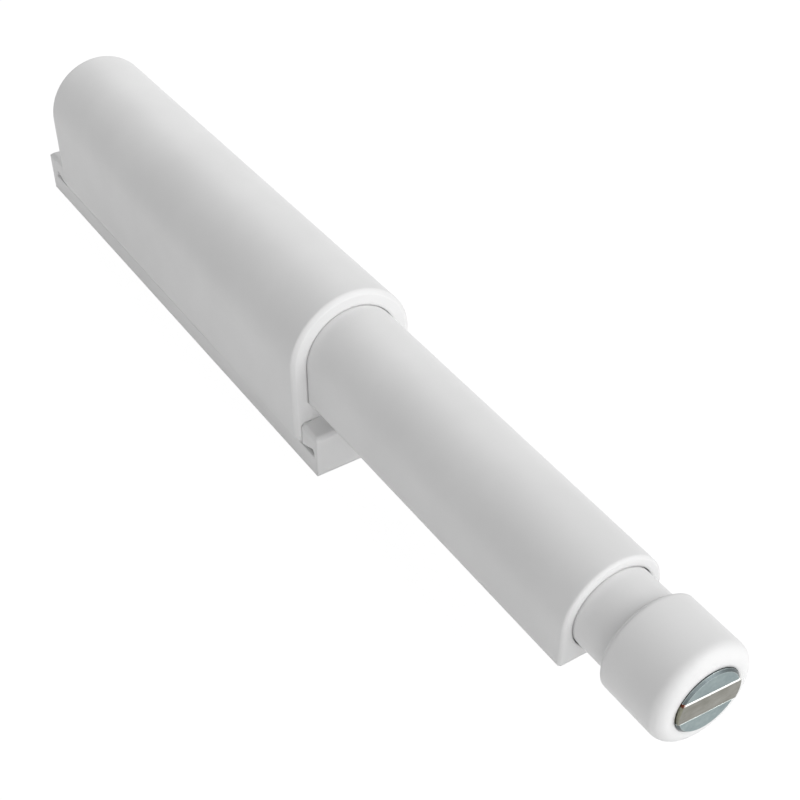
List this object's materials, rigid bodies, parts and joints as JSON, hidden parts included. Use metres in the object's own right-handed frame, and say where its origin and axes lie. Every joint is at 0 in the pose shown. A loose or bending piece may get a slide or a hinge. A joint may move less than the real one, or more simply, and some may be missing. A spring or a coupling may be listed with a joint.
{
  "type": "magnetic push latch",
  "caption": "Push-to-open cabinet latch: a sprung plunger with a turning magnetic head slides out of a tunnel housing that clips onto a screw-on base plate.",
  "frame": {"origin": "on the mounting surface, midway between the two screw holes of the base plate", "axes": "+X along the latch towards the magnet, +Z away from the mounting surface, +Y across the latch"},
  "size_m": [0.1112, 0.0132, 0.0176],
  "materials": {
    "white_plastic": "fine satin mould finish",
    "natural_plastic": "satin acetal",
    "spring_steel": "drawn wire",
    "zinc_steel": "zinc plated, lightly brushed",
    "nickel_magnet": "nickel plated, lightly brushed",
    "black_rubber": "matt"
  },
  "bodies": {
    "latch_base": {"base_plate": "white_plastic", "housing": "white_plastic", "rear_plug": "white_plastic", "guide_rod": "spring_steel", "main_spring": "spring_steel"},
    "plunger": {"plunger_shell": "white_plastic", "track_block": "natural_plastic", "thread_bush": "natural_plastic"},
    "catch": {"catch_wire": "spring_steel"},
    "clip": {"stem_clip": "spring_steel"},
    "head": {"stem": "white_plastic", "stem_ring": "black_rubber", "magnet_cap": "white_plastic", "magnet_bar": "nickel_magnet", "pole_piece_upper": "zinc_steel", "pole_piece_lower": "zinc_steel"}
  },
  "joints": [
    {"name": "plunger_slide", "type": "slide", "parent": "latch_base", "child": "plunger", "axis": [1, 0, 0], "range_m": [-0.038, 0], "stiffness_N_per_m": 150, "springref_m": 0.03, "deforming": ["main_spring"]},
    {"name": "catch_swing", "type": "hinge", "parent": "latch_base", "child": "catch", "pos_m": [-0.02585, 0, 0.00638], "axis": [0, 0, 1], "range_deg": [0, 17.25]},
    {"name": "head_advance", "type": "slide", "parent": "plunger", "child": "clip", "axis": [1, 0, 0], "range_m": [-0.0035, 0.002]},
    {"name": "head_turn", "type": "hinge", "parent": "clip", "child": "head", "pos_m": [0.0697, 0, 0.01105], "axis": [1, 0, 0], "range_deg": [-632, 362]}
  ],
  "couplings": [
    {"joint": "head_turn", "follows": "head_advance", "rad_per_m": 3141.6}
  ]
}
